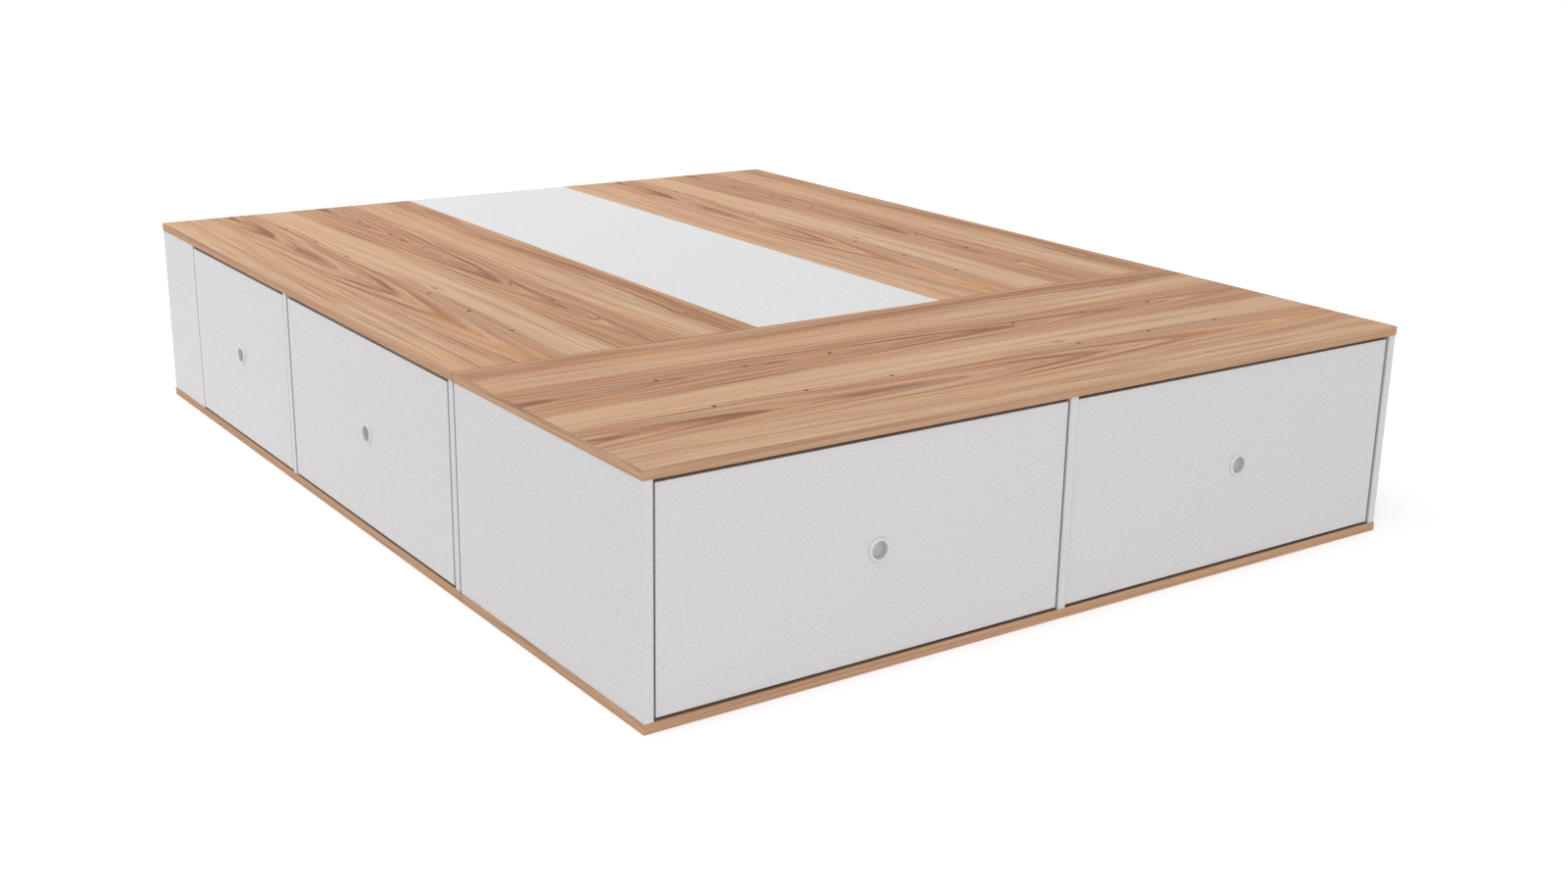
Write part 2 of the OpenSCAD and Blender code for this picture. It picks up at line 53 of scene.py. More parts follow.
def calc(tree, operation, a, b=0.0, c=0.0):
    values = {0: a, 1: b, 2: c} if operation == "MULTIPLY_ADD" else {0: a, 1: b}
    return addNode(tree, "ShaderNodeMath", values, operation=operation).outputs[0]


def times(tree, first, *others):
    # the product of two or more values
    for value in others:
        first = calc(tree, "MULTIPLY", first, value)
    return first


def squares(tree, a, b):
    # the sum of two squares
    return calc(tree, "ADD", times(tree, a, a), times(tree, b, b))


def span(tree, value, low, high, outLow=0.0, outHigh=1.0):
    # smooth step from one range to another
    made = addNode(tree, "ShaderNodeMapRange", {0: value, 1: low, 2: high, 3: outLow, 4: outHigh},
                   interpolation_type="SMOOTHSTEP")
    return made.outputs[0]


def mixValue(tree, factor, a, b):
    return addNode(tree, "ShaderNodeMix", {0: factor, 2: a, 3: b}, data_type="FLOAT").outputs[0]


def mixColour(tree, factor, a, b):
    return addNode(tree, "ShaderNodeMix", {0: factor, 6: a, 7: b}, data_type="RGBA").outputs[2]


def calcVector(tree, operation, a, b=(0.0, 0.0, 0.0)):
    made = addNode(tree, "ShaderNodeVectorMath", {0: a, 1: b}, operation=operation)
    return made.outputs["Value" if operation in ("DOT_PRODUCT", "LENGTH") else "Vector"]


def scaled(tree, vector, factor):
    # a vector or a colour times a number
    made = addNode(tree, "ShaderNodeVectorMath", {0: vector, "Scale": factor}, operation="SCALE")
    return made.outputs[0]


def joinXyz(tree, x, y, z):
    return addNode(tree, "ShaderNodeCombineXYZ", {0: x, 1: y, 2: z}).outputs[0]


def splitXyz(tree, vector):
    return addNode(tree, "ShaderNodeSeparateXYZ", {0: vector}).outputs[:3]


def noise(tree, vector, scale, detail=2.0, rough=0.5):
    made = addNode(tree, "ShaderNodeTexNoise",
                   {"Vector": vector, "Scale": scale, "Detail": detail, "Roughness": rough})
    return made.outputs["Fac"]


def drawnNoise(tree, across, along, acrossScale, alongScale, detail=1.0, rough=0.5):
    # noise drawn out along the grain, with its own number of spots in a metre for each direction
    spot = joinXyz(tree, times(tree, across, acrossScale), times(tree, along, alongScale), 0.0)
    return noise(tree, spot, 1.0, detail, rough)


def centred(tree, field):
    # noise as a shift to both sides of zero
    return calc(tree, "SUBTRACT", field, 0.5)


def addRamp(tree, value, stops, interpolation):
    # a ramp through stops of (position, colour)
    made = addNode(tree, "ShaderNodeValToRGB", {0: value})
    made.color_ramp.interpolation = interpolation
    elements = made.color_ramp.elements
    while len(elements) < len(stops):
        elements.new(0.5)
    for element, (place, colour) in zip(elements, stops):
        element.position = place
        element.color = colour
    return made.outputs[0]


def newGroup(name, inputs, outputs):
    tree = bpy.data.node_groups.new(name, "ShaderNodeTree")
    for socketName, kind, value in inputs:
        made = tree.interface.new_socket(socketName, in_out="INPUT", socket_type=kind)
        if value is not None:
            made.default_value = value
    for socketName, kind in outputs:
        tree.interface.new_socket(socketName, in_out="OUTPUT", socket_type=kind)
    return tree, tree.nodes.new("NodeGroupInput").outputs, tree.nodes.new("NodeGroupOutput")


def useGroup(tree, group, inputs):
    return addNode(tree, "ShaderNodeGroup", inputs, node_tree=group).outputs


vectorKind, floatKind, colourKind = "NodeSocketVector", "NodeSocketFloat", "NodeSocketColor"


# Walnut laminate. Place is (across the grain, along the grain) in metres, where across runs from 0 at
# the outer edge of a board and along runs from 0 at the head end.

walnut = {
    "light": srgb(219, 185, 151),
    "middle": srgb(203, 161, 128),
    "dark": srgb(181, 134, 104),
    "heart": srgb(144, 103, 79),
    "orange": srgb(213, 158, 109),
    "grey": srgb(180, 145, 130),
    # which colour stands for which darkness
    "tones": [(0.06, "light"), (0.44, "middle"), (0.76, "dark"), (1.0, "heart")],
    # broad bands across a board: (position in mm, darkness)
    "bands": [(0, 0.40), (26, 0.22), (50, 0.54), (68, 0.28), (96, 0.48), (118, 0.76), (185, 0.82),
              (206, 0.56), (222, 0.12), (285, 0.10), (304, 0.56), (340, 0.76), (372, 0.92),
              (425, 0.76), (450, 0.38), (486, 0.20), (512, 0.44), (545, 0.86), (572, 0.72),
              (592, 0.44)],
    "bandWidth": 0.6,
    # long soft waves of the grain: (waves in a metre across, in a metre along, reach)
    "waves": [(5.0, 1.6, 0.045), (14.0, 4.5, 0.010)],
    # flame figures: (middle, half width, first slope, bow, darkness), lengths in metres
    "flames": [(0.146, 0.066, 6.0, 120.0, 0.64), (0.372, 0.078, 7.0, 110.0, 0.62)],
    "flameTip": 0.00005,  # rounds the tips of the rings
    "flameCore": 0.4,  # the share of a flame that is at full strength
    "flameCalm": 0.45,  # how much weaker the streaks are inside a flame
    # rings inside a flame: (lines in a metre, share)
    "rings": [(4.5, 2.3), (14.0, 1.9), (36.0, 1.0), (85.0, 0.4)],
    # dark hearts inside the flames: (across, along, half width, half length)
    "hearts": [(0.152, 0.135, 0.016, 0.130), (0.150, 0.47, 0.009, 0.100), (0.372, 0.0, 0.015, 0.180),
               (0.575, 0.22, 0.010, 0.110)],
    "heartReach": 1.6,  # where a heart fades out, counted in half sizes and squared
    "heartDarkness": 0.32,
    # small knots: (across, along)
    "knots": [(0.237, 0.913), (0.544, 1.331)],
    "knotLength": 0.45,  # squeezes the distance along the grain, so that a knot is an oval
    "knotReach": 0.040,  # the distance to which a knot pushes the grain aside
    "knotPush": 0.012,
    "knotSoftness": 0.004,
    "knotSpot": (0.0085, 0.002),  # the distances at which its dark spot begins and is full
    "knotDarkness": 0.6,
    # streaks drawn out along the grain: (lines in a metre across, in a metre along, share)
    "streaks": [(38.0, 0.9, 0.56), (115.0, 1.3, 1.50), (280.0, 2.0, 2.10), (650.0, 4.0, 1.85)],
    "streakDetail": 3.0,
    "streakRough": 0.6,
    # drifts of another colour: (colour, lines in a metre across, in a metre along, from, to, share)
    "drifts": [("orange", 70.0, 1.1, -0.02, 0.18, 0.52), ("grey", 48.0, 1.3, 0.02, 0.20, 0.60)],
    "driftDetail": 2.0,
    # pores: short thin dashes
    "poreLines": (1300.0, 45.0),
    "poreRange": (0.60, 0.72),
    "poreDarkness": 0.22,
}


def walnutGroup():
    tree, given, out = newGroup(
        "walnutFigure",
        [("Place", vectorKind, None)],
        [("Color", colourKind), ("Pores", floatKind), ("Streaks", floatKind)])
    across, along, _ = splitXyz(tree, given["Place"])

    # the grain wanders a little: long soft waves push it sideways
    bent = across
    for acrossScale, alongScale, reach in walnut["waves"]:
        wave = centred(tree, drawnNoise(tree, across, along, acrossScale, alongScale))
        bent = calc(tree, "MULTIPLY_ADD", wave, reach, bent)

    # knots push the grain apart: the shift dies away with distance
    knots = 0.0
    for knotAcross, knotAlong in walnut["knots"]:
        dx = calc(tree, "SUBTRACT", across, knotAcross)
        dy = times(tree, calc(tree, "SUBTRACT", along, knotAlong), walnut["knotLength"])
        far = calc(tree, "SQRT", squares(tree, dx, dy))
        near = span(tree, far, walnut["knotReach"], 0.0)
        side = calc(tree, "DIVIDE", dx, calc(tree, "ADD", far, walnut["knotSoftness"]))
        bent = calc(tree, "MULTIPLY_ADD", times(tree, side, near), -walnut["knotPush"], bent)
        knots = calc(tree, "MAXIMUM", knots, span(tree, far, *walnut["knotSpot"]))

    bands = [(place / 1000 / walnut["bandWidth"], (dark, dark, dark, 1.0))
             for place, dark in walnut["bands"]]
    tone = addRamp(tree, calc(tree, "DIVIDE", bent, walnut["bandWidth"]), bands, "B_SPLINE")

    # flames: rings cut at a slant. Each is a line of equal (along + slope * distance + bow * distance
    # squared), where the distance is measured from the middle of the flame
    flameArea = 0.0
    for centre, half, slope, bow, dark in walnut["flames"]:
        off = calc(tree, "SUBTRACT", bent, centre)
        square = times(tree, off, off)
        distance = calc(tree, "SQRT", calc(tree, "ADD", square, walnut["flameTip"]))
        ring = calc(tree, "MULTIPLY_ADD", distance, slope,
                    calc(tree, "MULTIPLY_ADD", square, bow, along))
        figure = 0.0
        for lines, share in walnut["rings"]:
            field = noise(tree, joinXyz(tree, times(tree, ring, lines), centre, lines), 1.0, 1.0)
            figure = calc(tree, "ADD", figure, times(tree, centred(tree, field), share))
        inside = span(tree, calc(tree, "ABSOLUTE", off), half, half * walnut["flameCore"])
        tone = calc(tree, "MULTIPLY_ADD", times(tree, figure, inside), dark, tone)
        flameArea = calc(tree, "MAXIMUM", flameArea, inside)

    hearts = 0.0
    for centre, place, halfWidth, halfLength in walnut["hearts"]:
        dx = calc(tree, "DIVIDE", calc(tree, "SUBTRACT", bent, centre), halfWidth)
        dy = calc(tree, "DIVIDE", calc(tree, "SUBTRACT", along, place), halfLength)
        hearts = calc(tree, "ADD", hearts, span(tree, squares(tree, dx, dy), walnut["heartReach"], 0.0))
    tone = calc(tree, "MULTIPLY_ADD", hearts, walnut["heartDarkness"], tone)

    # long streaks, broad to fine, weaker inside the flames
    straight = calc(tree, "MULTIPLY_ADD", flameArea, -walnut["flameCalm"], 1.0)
    for acrossScale, alongScale, share in walnut["streaks"]:
        fine = centred(tree, drawnNoise(tree, bent, along, acrossScale, alongScale,
                                        walnut["streakDetail"], walnut["streakRough"]))
        tone = calc(tree, "MULTIPLY_ADD", times(tree, fine, straight), share, tone)
    colour = addRamp(tree, tone, [(place, walnut[name]) for place, name in walnut["tones"]], "LINEAR")

    # a faint orange and greyish drift over the board, then the knots and the pores
    for name, acrossScale, alongScale, low, high, share in walnut["drifts"]:
        drift = centred(tree, drawnNoise(tree, bent, along, acrossScale, alongScale,
                                         walnut["driftDetail"], walnut["streakRough"]))
        colour = mixColour(tree, span(tree, drift, low, high, 0.0, share), colour, walnut[name])
    colour = mixColour(tree, times(tree, knots, walnut["knotDarkness"]), colour, walnut["heart"])
    pores = span(tree, drawnNoise(tree, bent, along, *walnut["poreLines"]), *walnut["poreRange"])
    colour = mixColour(tree, times(tree, pores, walnut["poreDarkness"]), colour, walnut["heart"])
    setInputs(tree, out, {"Color": colour, "Pores": pores, "Streaks": fine})
    return tree


# Raw core of a board, seen in drilled holes: pressed chips of several browns

chipboard = {"dark": srgb(112, 84, 60), "light": srgb(176, 142, 104), "chips": 900.0,
             "range": (0.2, 0.9)}


def chipboardGroup():
    tree, given, out = newGroup("chipboardCore", [("Vector", vectorKind, None)], [("Color", colourKind)])
    chips = addNode(tree, "ShaderNodeTexVoronoi",
                    {"Vector": given["Vector"], "Scale": chipboard["chips"]}, feature="F1")
    shade = span(tree, chips.outputs["Color"], *chipboard["range"])
    setInputs(tree, out, {"Color": mixColour(tree, shade, chipboard["dark"], chipboard["light"])})
    return tree


# Fine relief on a surface whose arrises are slightly rounded, and painted shade in narrow gaps between
# boards, where other surfaces are close by. Openness says where the painted shade begins and where it is
# full.

relief = {"arris": 0.0006, "strength": 0.5, "samples": 4}
gap = {"openness": (0.72, 0.12), "samples": 6}


def softReliefGroup():
    tree, given, out = newGroup(
        "softRelief",
        [("Height", floatKind, 0.0), ("Depth", floatKind, 0.00005),
         ("Radius", floatKind, relief["arris"])],
        [("Normal", vectorKind)])
    arris = addNode(tree, "ShaderNodeBevel", {"Radius": given["Radius"]}, samples=relief["samples"])
    bump = addNode(tree, "ShaderNodeBump",
                   {"Strength": relief["strength"], "Distance": given["Depth"],
                    "Height": given["Height"], "Normal": arris.outputs[0]})
    setInputs(tree, out, {"Normal": bump.outputs[0]})
    return tree


def paintedCreviceShadeGroup():
    tree, given, out = newGroup(
        "paintedCreviceShade", [("Reach", floatKind, 0.01), ("Darkness", floatKind, 0.5)], [("Shade", floatKind)])
    openness = addNode(tree, "ShaderNodeAmbientOcclusion", {"Distance": given["Reach"]},
                       samples=gap["samples"]).outputs["AO"]
    # painted shade: the colour is darkened where the surface is closed in by other surfaces
    closed = times(tree, span(tree, openness, *gap["openness"]), given["Darkness"])
    setInputs(tree, out, {"Shade": calc(tree, "SUBTRACT", 1.0, closed)})
    return tree


# White melamine: a very fine mottling of colour and gloss, and pebbles too small to see one by one

white = {
    "colour": srgb(235, 233, 234), "shade": srgb(223, 221, 222),
    "mottle": 260.0, "mottleDetail": 3.0, "mottleRough": 0.7, "mottleRange": (0.36, 0.64),
    "rough": 0.43, "roughSwing": 0.10,
    "pebbles": 1500.0, "pebbleDepth": 0.00002,
    "gapReach": 0.010, "gapDarkness": {"foot": 0.55, "side": 0.22},
    # painted shade: the cover board, which faces up, is made a little darker than the other white boards
    "coverPaintedShade": 0.965,
}


def melamineGroup():
    tree, given, out = newGroup(
        "melamine", [("Vector", vectorKind, None)],
        [("Color", colourKind), ("Roughness", floatKind), ("Pebbles", floatKind)])
    mottle = noise(tree, given["Vector"], white["mottle"], white["mottleDetail"], white["mottleRough"])
    colour = mixColour(tree, span(tree, mottle, *white["mottleRange"]), white["colour"], white["shade"])
    setInputs(tree, out, {
        "Color": colour,
        "Roughness": calc(tree, "MULTIPLY_ADD", mottle, white["roughSwing"], white["rough"]),
        "Pebbles": noise(tree, given["Vector"], white["pebbles"])})
    return tree


def roundPlaceGroup():
    # distance from a turned piece's axis, and depth behind its outer face
    tree, given, out = newGroup(
        "roundPlace",
        [("Vector", vectorKind, None), ("Centre", vectorKind, None), ("Outward", vectorKind, None)],
        [("Distance", floatKind), ("Depth", floatKind)])
    away = calcVector(tree, "SUBTRACT", given["Vector"], given["Centre"])
    rise = calcVector(tree, "DOT_PRODUCT", away, given["Outward"])
    flat = calcVector(tree, "SUBTRACT", away, scaled(tree, given["Outward"], rise))
    setInputs(tree, out, {"Distance": calcVector(tree, "LENGTH", flat), "Depth": times(tree, rise, -1.0)})
    return tree


walnutFigure = walnutGroup()
chipboardCore = chipboardGroup()
softRelief = softReliefGroup()
paintedCreviceShade = paintedCreviceShadeGroup()
melamine = melamineGroup()
roundPlace = roundPlaceGroup()


def blankMaterial(name):
    made = bpy.data.materials.new(name)
    made.use_nodes = True
    tree = made.node_tree
    tree.nodes.clear()
    return made, tree, tree.nodes.new("ShaderNodeOutputMaterial")


def principled(name):
    made, tree, output = blankMaterial(name)
    shader = tree.nodes.new("ShaderNodeBsdfPrincipled")
    tree.links.new(shader.outputs[0], output.inputs[0])
    return made, tree, shader, tree.nodes.new("ShaderNodeTexCoord").outputs


# How the laminate lies on each module. Object space is scaled, turned and shifted to (across, along,
# height), and on the foot module the print is drawn out a little along the grain. Then come the
# brightness of the boards, and the painted shade in their gaps and on the ledge in front of the drawers.

walnutBoards = {
    "foot": {"scale": (0.932, -1, 1), "turn": 90, "shift": (1.0425, 0.7457, 0), "grainAxis": (1, 0, 0),
             "tone": 1.0, "gapDarkness": 0.52, "ledgePaintedShadow": 0.50},
    "left": {"scale": (1, -1, 1), "turn": 0, "shift": (0.8, 1.0425, 0), "grainAxis": (0, 1, 0),
             "tone": 1.0, "gapDarkness": 0.50, "ledgePaintedShadow": 0.80},
    "right": {"scale": (1, -1, 1), "turn": 0, "shift": (-0.209, 1.0425, 0), "grainAxis": (0, 1, 0),
              "tone": 1.03, "gapDarkness": 0.50, "ledgePaintedShadow": 0.80},
}
boardFace = {"rough": 0.55, "roughSwing": 0.12, "shine": 0.04, "poreDepth": 0.00006, "gapReach": 0.016}
edgeStrip = {
    "topHeight": 0.395, "thickness": 0.016,
    "sideStretch": 2.4,  # how fast the print changes over the height of a strip along the grain
    "endStretch": 0.6,  # the same on a strip at the ends of the grain
    "endPlace": 0.100,  # where in the print such a strip lies, across the grain
    "colour": srgb(199, 160, 133),
    "calm": 0.42,  # share of the plain colour
    "lines": (240.0, 1.2),  # lines in a metre of height, and along the strip
    "lineRange": (0.34, 0.58), "lineShades": (0.93, 1.08),
}
# the walls of the air holes lie between these distances from the corner of a board
holeField = {"across": (0.07, 0.53), "along": (0.04, 1.45)}
# the joint between the modules, and the ledge of a bottom board in front of the drawers, whose outer
# edges are those of the whole base
joint = {"place": -0.449, "half": 0.0022, "shade": 0.72, "coverHalf": 0.2095}
ledge = {"halfWidth": 0.8, "halfLength": 1.0425, "arris": (0.0006, 0.0014), "width": 0.006, "top": 0.02}


def paintedShadeAndJoint(tree, coords, lay):
    # painted shade on faces that look up, in the gaps and on the ledge, and a darker line along the joint
    up = calc(tree, "GREATER_THAN", splitXyz(tree, coords["Normal"])[2], 0.5)
    gaps = useGroup(tree, paintedCreviceShade, {"Reach": boardFace["gapReach"],
                                    "Darkness": times(tree, up, lay["gapDarkness"])})
    x, y, z = splitXyz(tree, coords["Object"])
    fromMiddle = calc(tree, "ABSOLUTE", x)
    fromJoint = calc(tree, "ABSOLUTE", calc(tree, "SUBTRACT", y, joint["place"]))
    onJoint = times(tree, span(tree, fromJoint, joint["half"], joint["half"] / 2),
                    calc(tree, "GREATER_THAN", fromMiddle, joint["coverHalf"]))
    toEdge = calc(tree, "MINIMUM", calc(tree, "SUBTRACT", ledge["halfWidth"], fromMiddle),
                  calc(tree, "SUBTRACT", ledge["halfLength"], calc(tree, "ABSOLUTE", y)))
    # painted shadow on the narrow ledge in front of the drawers, under the fronts
    ledgeShadowMask = times(tree, span(tree, toEdge, *ledge["arris"]),
                    calc(tree, "LESS_THAN", toEdge, ledge["width"]), up,
                    calc(tree, "LESS_THAN", z, ledge["top"]))
    dim = times(tree, mixValue(tree, onJoint, lay["tone"], joint["shade"]),
                mixValue(tree, ledgeShadowMask, 1.0, lay["ledgePaintedShadow"]))
    return times(tree, gaps["Shade"], dim)


def walnutMaterial(module):
    lay = walnutBoards[module]
    made, tree, shader, coords = principled("walnut_" + module)
    mapped = addNode(tree, "ShaderNodeMapping",
                     {"Vector": coords["Object"], "Location": lay["shift"],
                      "Rotation": (0, 0, math.radians(lay["turn"])), "Scale": lay["scale"]}).outputs[0]
    across, along, height = splitXyz(tree, mapped)
    levelness = calc(tree, "ABSOLUTE", splitXyz(tree, coords["Normal"])[2])
    side = calc(tree, "SUBTRACT", 1.0, calc(tree, "GREATER_THAN", levelness, 0.5))
    grain = calcVector(tree, "DOT_PRODUCT", coords["Normal"], lay["grainAxis"])
    end = calc(tree, "GREATER_THAN", calc(tree, "ABSOLUTE", grain), 0.5)

    # edge strips: the grain runs along each edge, and the height in the board counts as distance
    # across the grain
    level = times(tree, calc(tree, "GREATER_THAN", height, edgeStrip["thickness"] * 2),
                  edgeStrip["topHeight"] - edgeStrip["thickness"])
    drop = calc(tree, "SUBTRACT", calc(tree, "SUBTRACT", height, level), edgeStrip["thickness"])
    acrossSide = calc(tree, "MULTIPLY_ADD", drop, edgeStrip["sideStretch"], across)
    acrossEnd = calc(tree, "MULTIPLY_ADD", drop, edgeStrip["endStretch"], edgeStrip["endPlace"])
    alongHere = mixValue(tree, end, along, across)
    place = joinXyz(tree, mixValue(tree, end, acrossSide, acrossEnd), alongHere, 0.0)
    figure = useGroup(tree, walnutFigure, {"Place": place})

    # the strips are calmer than the faces, with fine lines along them
    colour = mixColour(tree, times(tree, side, edgeStrip["calm"]), figure["Color"], edgeStrip["colour"])
    lines = span(tree, drawnNoise(tree, height, alongHere, *edgeStrip["lines"]),
                 *edgeStrip["lineRange"], *edgeStrip["lineShades"])
    colour = scaled(tree, colour, mixValue(tree, side, 1.0, lines))

    # walls of the air holes: upright, and away from the outer edges
    hole = side
    for value, name in ((across, "across"), (along, "along")):
        low, high = holeField[name]
        hole = times(tree, hole, calc(tree, "GREATER_THAN", value, low),
                     calc(tree, "LESS_THAN", value, high))
    core = useGroup(tree, chipboardCore, {"Vector": coords["Object"]})
    colour = mixColour(tree, hole, colour, core["Color"])

    pores = useGroup(tree, softRelief, {"Height": times(tree, figure["Pores"], -1.0),
                                        "Depth": boardFace["poreDepth"], "Radius": relief["arris"]})
    setInputs(tree, shader, {
        "Base Color": scaled(tree, colour, paintedShadeAndJoint(tree, coords, lay)),
        "Specular IOR Level": boardFace["shine"],
        "Roughness": calc(tree, "MULTIPLY_ADD", figure["Streaks"], boardFace["roughSwing"],
                          boardFace["rough"]),
        "Normal": pores["Normal"]})
    return made


# Finger cups, with painted shade inside each cup and a painted shadow on the front round its rim. The
# shades are (low, high), at the bottom and at the top of a cup.

cups = {
    "mouthRadius": 0.0147, "floorRadius": 0.0128, "rimRadius": 0.019,
    "rimDepth": (0.0001, 0.0012),  # where the painted shade inside the cup begins and is full
    "mouthEdge": 0.0006, "floorEdge": 0.0015,
    "wallPaintedShade": (0.64, 0.82), "floorPaintedShade": 0.80,
    "rimPaintedShadow": (1.0, 0.80), "rimShadowWidth": 0.0028,  # painted shadow on the front, round the rim
    "dark": srgb(228, 228, 228), "light": srgb(233, 233, 233), "grain": 2600.0,
    "rough": 0.34, "roughSwing": 0.08, "grainDepth": 0.00001, "arris": 0.0004,
}


def cupPlace(drawer):
    # the middle of a cup's outer face and the way it faces, from its box
    low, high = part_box(drawer + "_cup")
    middle = [(a + b) / 2 for a, b in zip(low, high)]
    if drawer.startswith("foot"):
        return (middle[0], low[1], middle[2]), (0, -1, 0)
    if drawer.startswith("left"):
        return (low[0], middle[1], middle[2]), (-1, 0, 0)
    return (high[0], middle[1], middle[2]), (1, 0, 0)


def cupField(tree, coords, drawer):
    # distance from the cup's axis, depth behind its face, and the rise from 0 at the bottom of the cup
    # to 1 at its top
    centre, outward = cupPlace(drawer)
    place = useGroup(tree, roundPlace, {"Vector": coords["Object"], "Centre": centre, "Outward": outward})
    height = splitXyz(tree, coords["Object"])[2]
    rise = span(tree, height, centre[2] - cups["mouthRadius"], centre[2] + cups["mouthRadius"])
    return place["Distance"], place["Depth"], rise


def cupMaterial(drawer):
    made, tree, shader, coords = principled("white_moulded_plastic_" + drawer)
    distance, depth, rise = cupField(tree, coords, drawer)
    # painted shade inside the cup: darker on its wall and floor, and on the wall darker towards the
    # bottom
    deep = span(tree, depth, *cups["rimDepth"])
    inside = span(tree, distance, cups["mouthRadius"] + cups["mouthEdge"], cups["mouthRadius"])
    wall = span(tree, distance, cups["floorRadius"] - cups["floorEdge"], cups["floorRadius"])
    hollowPaintedShade = mixValue(tree, wall, cups["floorPaintedShade"], mixValue(tree, rise, *cups["wallPaintedShade"]))
    dim = mixValue(tree, times(tree, deep, inside), 1.0, hollowPaintedShade)
    grain = noise(tree, coords["Object"], cups["grain"])
    plastic = mixColour(tree, grain, cups["dark"], cups["light"])
    skin = useGroup(tree, softRelief, {"Height": grain, "Depth": cups["grainDepth"],
                                       "Radius": cups["arris"]})
    setInputs(tree, shader, {
        "Base Color": scaled(tree, plastic, dim),
        "Roughness": calc(tree, "MULTIPLY_ADD", grain, cups["roughSwing"], cups["rough"]),
        "Normal": skin["Normal"]})
    return made


def whiteBoardMaterial(name, module, drawer=None, tone=1.0):
    made, tree, shader, coords = principled("white_melamine_" + name)
    finish = useGroup(tree, melamine, {"Vector": coords["Object"]})
    colour = finish["Color"]
    if drawer:
        # painted shadow: the board is a little darker close round the rim of its cup, most at its top
        distance, _, rise = cupField(tree, coords, drawer)
        close = span(tree, distance, cups["rimRadius"] + cups["rimShadowWidth"], cups["rimRadius"])
        rimShadow = mixValue(tree, rise, *cups["rimPaintedShadow"])
        colour = scaled(tree, colour, mixValue(tree, close, 1.0, rimShadow))
    # painted shade in the narrow gaps between the boards
    gaps = useGroup(tree, paintedCreviceShade, {"Reach": white["gapReach"], "Darkness": white["gapDarkness"][module]})
    pebbles = useGroup(tree, softRelief, {"Height": finish["Pebbles"], "Depth": white["pebbleDepth"],
                                          "Radius": relief["arris"]})
    setInputs(tree, shader, {
        "Base Color": scaled(tree, colour, times(tree, gaps["Shade"], tone)),
        "Roughness": finish["Roughness"],
        "Normal": pebbles["Normal"]})
    return made


# Zinc-plated steel of the runners and fasteners, and beech of the dowels

steel = {"dark": srgb(176, 180, 184), "light": srgb(206, 208, 211), "spangle": 260.0, "detail": 3.0,
         "rough": 0.24, "roughSwing": 0.22}
beech = {"dark": srgb(206, 168, 124), "light": srgb(226, 192, 150), "flecks": 900.0, "detail": 3.0,
         "stretch": (1, 1, 0.08), "rough": 0.7}


def steelMaterial():
    made, tree, shader, coords = principled("zinc_steel")
    spangle = noise(tree, coords["Object"], steel["spangle"], steel["detail"])
    setInputs(tree, shader, {
        "Base Color": mixColour(tree, spangle, steel["dark"], steel["light"]),
        "Metallic": 1.0,
        "Roughness": calc(tree, "MULTIPLY_ADD", spangle, steel["roughSwing"], steel["rough"])})
    return made


def beechMaterial():
    made, tree, shader, coords = principled("beech_dowel")
    drawn = addNode(tree, "ShaderNodeMapping",
                    {"Vector": coords["Object"], "Scale": beech["stretch"]}).outputs[0]
    flecks = noise(tree, drawn, beech["flecks"], beech["detail"])
    setInputs(tree, shader, {"Base Color": mixColour(tree, flecks, beech["dark"], beech["light"]),
                             "Roughness": beech["rough"]})
    return made


def dress(node, material):
    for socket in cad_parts[node].material_slots:
        socket.material = material


whiteByModule = {module: whiteBoardMaterial(module, module) for module in white["gapDarkness"]}
steelFinish = steelMaterial()
beechFinish = beechMaterial()
walnutByModule = {module: walnutMaterial(module) for module in walnutBoards}
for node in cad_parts:
    owner, _, piece = node.rpartition("_")
    module = "foot" if node.startswith("foot") else "side"
    if piece in ("top", "bottom"):
        dress(node, walnutByModule[owner])
    elif piece == "cup":
        dress(node, cupMaterial(owner))
    elif piece == "front":
        dress(node, whiteBoardMaterial(node, module, drawer=owner))
    elif piece in ("rails", "bolts", "screws"):
        dress(node, steelFinish)
    elif piece == "dowels":
        dress(node, beechFinish)
    elif node == "cover_board":
        # the cover board gets its painted shade through the tone
        dress(node, whiteBoardMaterial("cover", module, tone=white["coverPaintedShade"]))
    else:
        dress(node, whiteByModule[module])
print("finishes on", len(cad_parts), "nodes")


# Floor, world and light

stage = {"floorHalf": 40.0, "floorDrop": 0.0005, "floorColour": (0.80, 0.80, 0.80, 1.0),
         "floorGlow": 0.35, "ambient": 0.62,
         "sunStrength": 0.70, "sunAngle": 55.0, "sunFrom": (-0.42, -0.34, 1.0)}
lamps = {
    "headLamp": {"place": (-1.3, 2.2, 3.0), "aim": (0, 0.6, 0.3), "size": 2.0, "power": 26.0},
    "footLamp": {"place": (-1.2, -4.0, 0.9), "aim": (-0.4, -1.0, 0.2), "size": 1.2, "power": 9.0},
}
plainWhite = (1, 1, 1, 1)


def addObject(name, data):
    made = bpy.data.objects.new(name, data)
    bpy.context.collection.objects.link(made)
    return made


def seenStraight(tree):
    # 1 for the camera, gloss and glass, which all show the plain white background
    seen = tree.nodes.new("ShaderNodeLightPath").outputs
    return calc(tree, "MAXIMUM", seen["Is Camera Ray"],
                calc(tree, "MAXIMUM", seen["Is Glossy Ray"], seen["Is Transmission Ray"]))


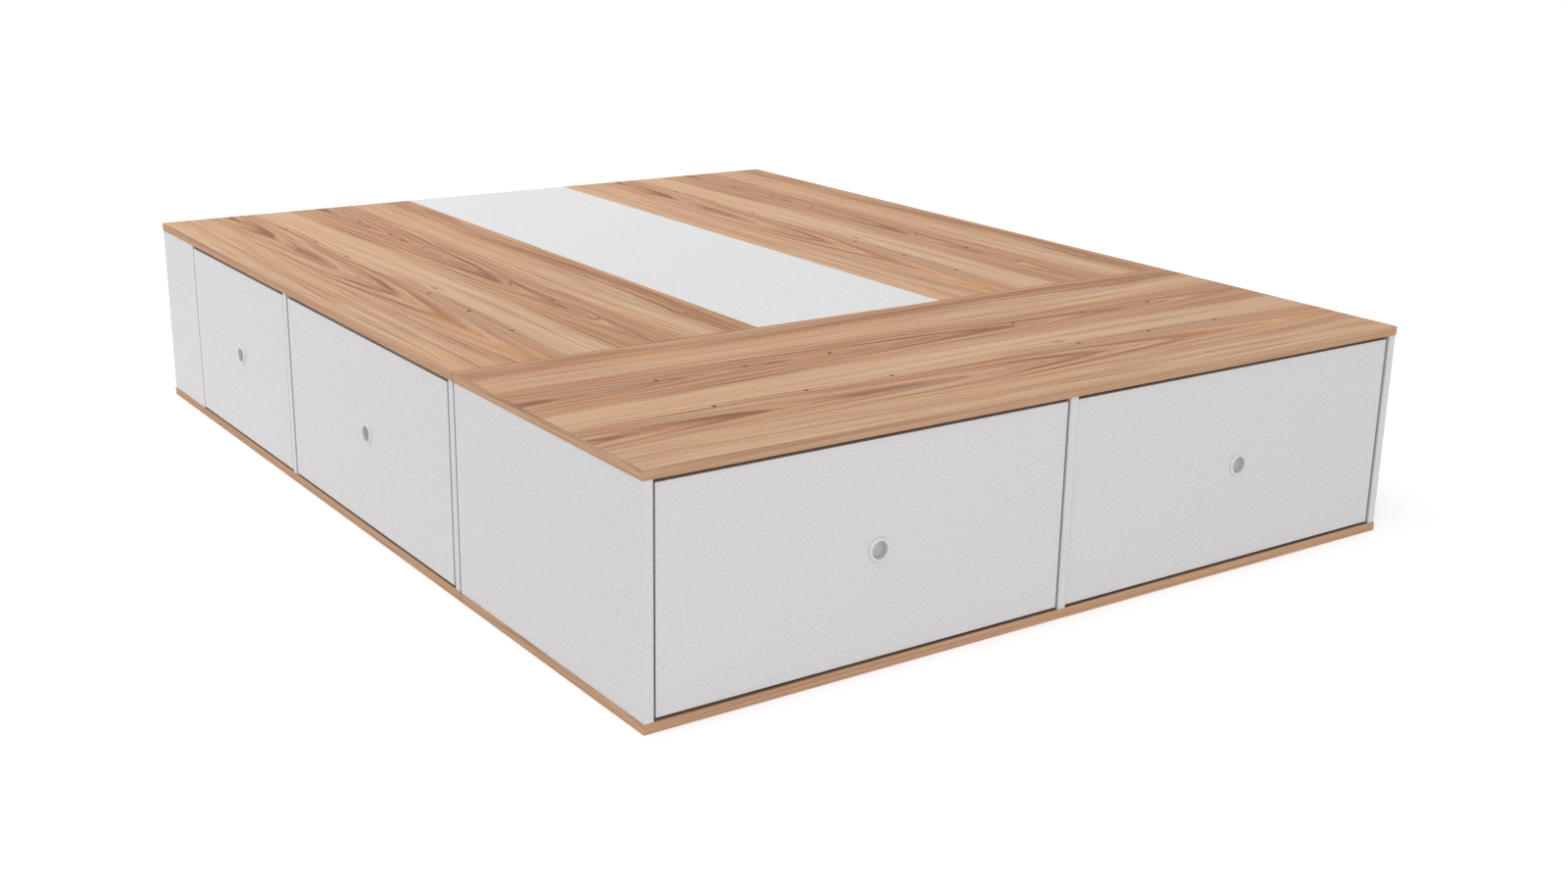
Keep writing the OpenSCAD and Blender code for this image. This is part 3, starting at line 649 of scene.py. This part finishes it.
def whiteFloor():
    half, drop = stage["floorHalf"], -stage["floorDrop"]
    mesh = bpy.data.meshes.new("floor")
    corners = [(-half, -half, drop), (half, -half, drop), (half, half, drop), (-half, half, drop)]
    mesh.from_pydata(corners, [], [(0, 1, 2, 3)])
    floor = addObject("floor", mesh)
    made, tree, output = blankMaterial("pale_floor")
    diffuse = addNode(tree, "ShaderNodeBsdfDiffuse", {"Color": stage["floorColour"]})
    strength = times(tree, seenStraight(tree), stage["floorGlow"])
    glow = addNode(tree, "ShaderNodeEmission", {"Color": plainWhite, "Strength": strength})
    both = addNode(tree, "ShaderNodeAddShader", {0: diffuse.outputs[0], 1: glow.outputs[0]})
    tree.links.new(both.outputs[0], output.inputs[0])
    mesh.materials.append(made)


def whiteWorld():
    world = bpy.data.worlds.new("studio")
    bpy.context.scene.world = world
    world.use_nodes = True
    tree = world.node_tree
    tree.nodes.clear()
    level = mixValue(tree, seenStraight(tree), stage["ambient"], 1.0)
    back = addNode(tree, "ShaderNodeBackground", {"Color": plainWhite, "Strength": level})
    addNode(tree, "ShaderNodeOutputWorld", {"Surface": back.outputs[0]})


def softSun():
    lamp = bpy.data.lights.new("softSun", "SUN")
    lamp.energy = stage["sunStrength"]
    lamp.angle = math.radians(stage["sunAngle"])
    x, y, z = stage["sunFrom"]
    sun = addObject("softSun", lamp)
    sun.rotation_euler = Euler((math.atan2(math.hypot(x, y), z), 0, math.atan2(x, -y)))


def softLamp(name, place, aim, size, power):
    lamp = bpy.data.lights.new(name, "AREA")
    lamp.shape = "SQUARE"
    lamp.size = size
    lamp.energy = power
    made = addObject(name, lamp)
    made.location = place
    made.rotation_euler = (Vector(aim) - Vector(place)).to_track_quat("-Z", "Y").to_euler()


whiteFloor()
whiteWorld()
softSun()
for lampName, settings in lamps.items():
    softLamp(lampName, **settings)
bpy.context.scene.view_settings.view_transform = "Standard"
print("floor, world and light")


# Camera at the photograph's place

view = {"place": (-2.0204, -3.1001, 1.1781), "yaw": 35.242, "pitch": 17.212, "roll": 1.043,
        "lens": 42.627, "sensor": 36.0, "reach": 200.0}


def photoCamera():
    data = bpy.data.cameras.new("photoCamera")
    data.lens = view["lens"]
    data.sensor_width = view["sensor"]
    data.sensor_fit = "HORIZONTAL"
    data.clip_end = view["reach"]
    camera = addObject("photoCamera", data)
    aim = Euler((math.radians(90 - view["pitch"]), 0, -math.radians(view["yaw"]))).to_matrix().to_4x4()
    roll = Matrix.Rotation(math.radians(view["roll"]), 4, "Z")
    camera.matrix_world = Matrix.Translation(view["place"]) @ aim @ roll
    bpy.context.scene.camera = camera


photoCamera()
print("camera at the photograph's place")
